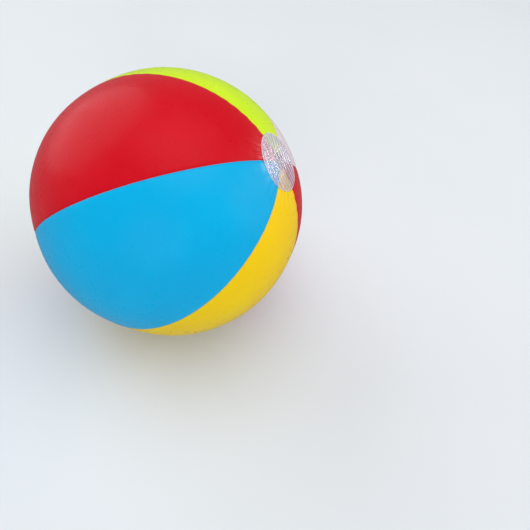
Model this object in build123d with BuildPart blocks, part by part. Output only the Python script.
from build123d import *
import os

# An inflatable beach ball: six welded gores of thin vinyl, a disc over the gore tips at each end,
# and a push-in valve with a check flap and a tethered stopper.
#
# Frame: millimetres, +Z up, the origin at the ball's centre. The ball lies on its lowest point.
# Its polar axis, which runs from end disc to end disc, leans from +Z towards +X.
# Azimuths are counted about the polar axis from the side that faces down, polar angles from the
# upper end disc, both in degrees.

# Ball
BALL_RADIUS = 200.0
FILM = 0.3
AXIS_LEAN = 48.0
GORES = ("gore_red_back", "gore_white", "gore_lime", "gore_red_front", "gore_blue", "gore_yellow")
GORE_SPAN = 360.0 / len(GORES)
FIRST_GORE_MIDDLE = 14.0
TIP_ANGLE = 3.5

# The inside weld that joins two gores: a fin on each, lying face to face
WELD_WIDTH = 4.0
WELD_END_ANGLE = 9.0

# End discs
DISC_ANGLE = 12.0
DISC_THICKNESS = 0.4

# Valve, whose radii are about its own axis and whose heights are from the ball's surface, outwards
VALVE_GORE = "gore_lime"
VALVE_POLAR_ANGLE = 145.0
VALVE_TRAVEL = 14.0
HOLE_RADIUS = 9.0
FLANGE_RADIUS = 16.0
FLANGE_THICKNESS = 0.6
SKIRT_TOP_RADIUS = 8.8
SKIRT_TOP_HEIGHT = -0.4
SKIRT_THICKNESS = 0.6
STEM_RADIUS = 5.5
BORE_RADIUS = 3.7
RIM_RADIUS = 7.0
RIM_TOP = 1.6
RIM_THICKNESS = 1.2
STEM_BOTTOM = -VALVE_TRAVEL / 2

# Check flap
FLAP_RADIUS = 4.6
FLAP_THICKNESS = 0.4
FLAP_GAP = 0.1
FLAP_HINGE_OFFSET = 5.5
FLAP_TAB_WIDTH = 4.0

# Stopper
SEAT_GAP = 0.1
HEAD_RADIUS = 6.5
HEAD_THICKNESS = 2.0
SHANK_LENGTH = 6.0
SHANK_ROOT_RADIUS = 3.6
SHANK_TIP_RADIUS = 2.2
PULL_TAB_END = 10.5
PULL_TAB_WIDTH = 5.0
PULL_TAB_THICKNESS = 1.0

# Tether, a strap bent into a U that lies on its side between the rim and the stopper's head
TETHER_WIDTH = 4.4
TETHER_THICKNESS = 0.8
TETHER_START = 8.0
TETHER_END = 7.25
TETHER_FOLD = 12.0
LUG_ROOT = 5.0

# Directions
centre = Vector(0, 0, 0)
polar = Plane.XY.rotated((0, AXIS_LEAN, 0))
polar_axis = Axis(centre, polar.z_dir)


def meridian(azimuth):
    """Plane through the polar axis: its X points out at the azimuth, its Y along the axis."""
    outwards = polar.x_dir.rotate(polar_axis, azimuth)
    return Plane(origin=centre, x_dir=outwards, z_dir=outwards.cross(polar.z_dir))


def gore_middle(name):
    """Azimuth of a gore's middle line."""
    return FIRST_GORE_MIDDLE + GORES.index(name) * GORE_SPAN


def shell_section(inner, outer, first, last):
    """Section of a round shell, between two radii and two angles counted from the sketch's Y."""
    with BuildSketch() as section:
        with BuildLine():
            outside = CenterArc(centre, outer, 90 - last, last - first)
            inside = CenterArc(centre, inner, 90 - last, last - first)
            Line(inside @ 0, outside @ 0)
            Line(inside @ 1, outside @ 1)
        make_face()
    return section.sketch


def angle_at(radius):
    """Angle from an axis through the centre to a point on the film this far from the axis."""
    return Vector(0, 1).get_angle(Vector(radius, (BALL_RADIUS**2 - radius**2) ** 0.5))


# The valve's own planes: section holds its axis as Y, with X towards the lower end disc,
# central is the same plane with its origin at the ball's centre, and mouth lies across the axis.
valve_meridian = meridian(gore_middle(VALVE_GORE))
swing = Axis(centre, valve_meridian.z_dir)
valve_out = valve_meridian.x_dir.rotate(swing, 90 - VALVE_POLAR_ANGLE)
central = Plane(origin=centre, x_dir=valve_out.rotate(swing, -90), z_dir=valve_meridian.z_dir)
section = Plane(origin=valve_out * BALL_RADIUS, x_dir=central.x_dir, z_dir=central.z_dir)
mouth = Plane(origin=section.origin, x_dir=section.x_dir, z_dir=section.y_dir)
valve_axis = Axis(section.origin, section.y_dir)


def finish(part, name):
    """Label a finished piece and write it."""
    part.label = name
    export_step(part, f"parts/{name}.step")
    print(f"{name}: {part.volume:.1f} mm3")


os.makedirs("parts", exist_ok=True)

# Gores: a lune of film with a weld fin along each edge, and in one of them the valve's hole
film_section = shell_section(BALL_RADIUS - FILM, BALL_RADIUS, TIP_ANGLE, 180 - TIP_ANGLE)
fin_top = BALL_RADIUS - FILM / 2
fin_section = shell_section(fin_top - WELD_WIDTH, fin_top, WELD_END_ANGLE, 180 - WELD_END_ANGLE)

for name in GORES:
    first_edge = gore_middle(name) - GORE_SPAN / 2
    with BuildPart() as gore:
        with BuildSketch(meridian(first_edge)):
            add(film_section)
        revolve(axis=polar_axis, revolution_arc=GORE_SPAN)
        with BuildSketch(meridian(first_edge)):
            add(fin_section)
        extrude(amount=-FILM)
        with BuildSketch(meridian(first_edge + GORE_SPAN)):
            add(fin_section)
        extrude(amount=FILM)
        if name == VALVE_GORE:
            with BuildSketch(mouth):
                Circle(HOLE_RADIUS)
            extrude(amount=2 * WELD_WIDTH, both=True, mode=Mode.SUBTRACT)
    finish(gore.part, name)

# End discs, welded over the gore tips
for name, first, last in (
    ("end_disc_upper", 0, DISC_ANGLE),
    ("end_disc_lower", 180 - DISC_ANGLE, 180),
):
    with BuildPart() as end_disc:
        with BuildSketch(meridian(0)):
            add(shell_section(BALL_RADIUS, BALL_RADIUS + DISC_THICKNESS, first, last))
        revolve(axis=polar_axis)
    finish(end_disc.part, name)

# Valve flange, a flat ring welded to the inside of the film round the hole
flange_top = BALL_RADIUS - FILM
with BuildPart() as valve_flange:
    with BuildSketch(central):
        add(
            shell_section(
                flange_top - FLANGE_THICKNESS, flange_top, angle_at(HOLE_RADIUS), angle_at(FLANGE_RADIUS)
            )
        )
    revolve(axis=valve_axis)
finish(valve_flange.part, "valve_flange")

# Valve skirt, a thin cone from the flange down to the stem's root
with BuildPart() as valve_skirt:
    with BuildSketch(section):
        with BuildLine():
            Polyline(
                (SKIRT_TOP_RADIUS - SKIRT_THICKNESS, SKIRT_TOP_HEIGHT),
                (SKIRT_TOP_RADIUS, SKIRT_TOP_HEIGHT),
                (STEM_RADIUS + SKIRT_THICKNESS, STEM_BOTTOM),
                (STEM_RADIUS, STEM_BOTTOM),
                (STEM_RADIUS, STEM_BOTTOM + SKIRT_THICKNESS),
                close=True,
            )
        make_face()
    revolve(axis=valve_axis)
finish(valve_skirt.part, "valve_skirt")

# Valve stem, a tube with a rim, and a lug on the rim where the tether starts
rim_bottom = RIM_TOP - RIM_THICKNESS
with BuildPart() as valve_stem:
    with BuildSketch(mouth.offset(STEM_BOTTOM)):
        Circle(STEM_RADIUS)
    extrude(amount=RIM_TOP - STEM_BOTTOM)
    with BuildSketch(mouth.offset(rim_bottom)):
        Circle(RIM_RADIUS)
    extrude(amount=RIM_THICKNESS)
    rim_faces = valve_stem.faces().sort_by(valve_axis)[-1:]
    fillet(rim_faces.edges(), RIM_THICKNESS / 4)
    with BuildSketch(mouth.offset(rim_bottom)):
        with Locations(((LUG_ROOT + TETHER_START) / 2, 0)):
            Rectangle(TETHER_START - LUG_ROOT, TETHER_WIDTH)
    extrude(amount=TETHER_THICKNESS)
    with BuildSketch(mouth.offset(STEM_BOTTOM)):
        Circle(BORE_RADIUS)
    extrude(amount=RIM_TOP - STEM_BOTTOM, mode=Mode.SUBTRACT)
finish(valve_stem.part, "valve_stem")

# Check flap, a film disc under the stem, hinged by a tab on the side towards the upper end disc
with BuildPart() as check_flap:
    with BuildSketch(mouth.offset(STEM_BOTTOM - FLAP_GAP)):
        Circle(FLAP_RADIUS)
        with Locations((-FLAP_HINGE_OFFSET / 2, 0)):
            Rectangle(FLAP_HINGE_OFFSET, FLAP_TAB_WIDTH)
    extrude(amount=-FLAP_THICKNESS)
finish(check_flap.part, "check_flap")

# Stopper: a head, a pull tab, a lug for the tether, and a tapered shank that plugs the bore
head_bottom = RIM_TOP + SEAT_GAP
head_top = head_bottom + HEAD_THICKNESS
with BuildPart() as stopper:
    with BuildSketch(section):
        with BuildLine():
            Polyline(
                (0, head_bottom - SHANK_LENGTH),
                (SHANK_TIP_RADIUS, head_bottom - SHANK_LENGTH),
                (SHANK_ROOT_RADIUS, head_bottom),
                (HEAD_RADIUS, head_bottom),
                (HEAD_RADIUS, head_top),
                (0, head_top),
                close=True,
            )
        make_face()
    revolve(axis=valve_axis)
    head_face = stopper.faces().sort_by(valve_axis)[-1:]
    fillet(head_face.edges(), HEAD_THICKNESS / 4)
    with BuildSketch(mouth.offset(head_top - PULL_TAB_THICKNESS - HEAD_THICKNESS / 4)):
        with Locations((-(LUG_ROOT + PULL_TAB_END) / 2, 0)):
            RectangleRounded(PULL_TAB_END - LUG_ROOT, PULL_TAB_WIDTH, PULL_TAB_THICKNESS)
    extrude(amount=PULL_TAB_THICKNESS)
    with BuildSketch(mouth.offset(head_bottom + HEAD_THICKNESS / 4)):
        with Locations(((LUG_ROOT + TETHER_END) / 2 - SEAT_GAP, 0)):
            Rectangle(TETHER_END - LUG_ROOT, TETHER_WIDTH)
    extrude(amount=TETHER_THICKNESS)
finish(stopper.part, "stopper")

# Stopper tether: out from the rim's lug, round the fold, and back to the stopper's lug
tether_low = rim_bottom + TETHER_THICKNESS / 2
tether_high = head_bottom + HEAD_THICKNESS / 4 + TETHER_THICKNESS / 2
fold_radius = (tether_high - tether_low) / 2
fold_height = (tether_high + tether_low) / 2
with BuildPart() as stopper_tether:
    with BuildLine(section) as strap_path:
        lower = Line((TETHER_START, tether_low), (TETHER_FOLD, tether_low))
        fold = CenterArc((TETHER_FOLD, fold_height), fold_radius, -90, 180)
        Line(fold @ 1, (TETHER_END, tether_high))
    strap_start = Plane(origin=strap_path.line @ 0, x_dir=section.z_dir, z_dir=section.x_dir)
    with BuildSketch(strap_start):
        Rectangle(TETHER_WIDTH, TETHER_THICKNESS)
    sweep(path=strap_path.line)
finish(stopper_tether.part, "stopper_tether")

print("valve mouth:", mouth.origin, "outwards", mouth.z_dir, "towards the lower disc", mouth.x_dir)
print("tether fold:", section.from_local_coords(Vector(TETHER_FOLD, fold_height)))
print("flap hinge:", section.from_local_coords(Vector(-FLAP_HINGE_OFFSET, STEM_BOTTOM - FLAP_GAP)))
print("hinge direction:", -section.z_dir)
